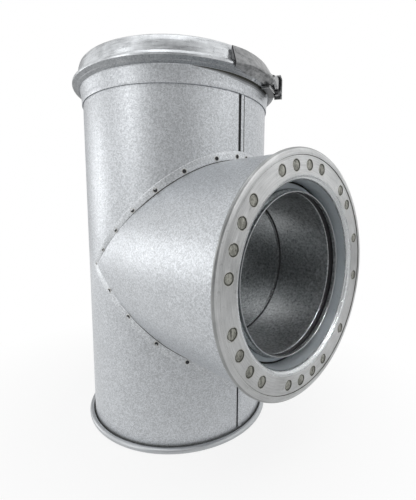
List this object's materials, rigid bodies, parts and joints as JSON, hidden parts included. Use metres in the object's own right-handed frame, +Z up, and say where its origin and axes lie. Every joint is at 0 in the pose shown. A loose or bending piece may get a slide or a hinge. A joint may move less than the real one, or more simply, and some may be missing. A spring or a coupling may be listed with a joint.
{
  "type": "insulated flue tee",
  "caption": "Twin-wall insulated flue tee in galvanised sheet, with a flanged side branch, flat end rings and a locking band with an over-centre lever at the top.",
  "frame": {"origin": "on the axis of the main pipe, in the plane of the bottom face", "axes": "+Z up along the main pipe, +X along the branch towards its open end"},
  "size_m": [0.2137, 0.1646, 0.2836],
  "materials": {
    "galvanised_sheet": "satin spangled zinc",
    "ring_steel": "satin",
    "latch_steel": "satin",
    "liner_steel": "satin",
    "mineral_wool": "matte fibres"
  },
  "bodies": {
    "root": {"main_shell": "galvanised_sheet", "branch_shell": "galvanised_sheet", "bottom_end_ring": "ring_steel", "top_end_ring": "ring_steel", "branch_end_ring": "ring_steel", "top_collar": "galvanised_sheet", "locking_band": "galvanised_sheet", "hinge_pin": "latch_steel", "hinge_bracket": "latch_steel", "link_pin": "latch_steel", "anchor_bracket": "latch_steel", "main_liner": "liner_steel", "branch_liner": "liner_steel", "top_closing_ring": "liner_steel", "bottom_closing_ring": "liner_steel", "branch_closing_ring": "liner_steel", "main_insulation": "mineral_wool", "branch_insulation": "mineral_wool", "top_centring_clips": "liner_steel", "bottom_centring_clips": "liner_steel", "branch_centring_clips": "liner_steel"},
    "lever": {"clamp_lever": "latch_steel", "claw_pin": "latch_steel"},
    "link": {"clamp_link": "latch_steel"}
  },
  "joints": [
    {"name": "lever_hinge", "type": "hinge", "parent": "root", "child": "lever", "pos_m": [0.07523, 0.04, 0.27], "axis": [0, 0, 1], "range_deg": [0, 110]},
    {"name": "link_hinge", "type": "hinge", "parent": "root", "child": "link", "pos_m": [0.07985, 0.00279, 0.2738], "axis": [0, 0, -1], "range_deg": [0, 11]}
  ],
  "couplings": [
    {"joint": "link_hinge", "follows": "lever_hinge", "ratio": 0.1}
  ]
}
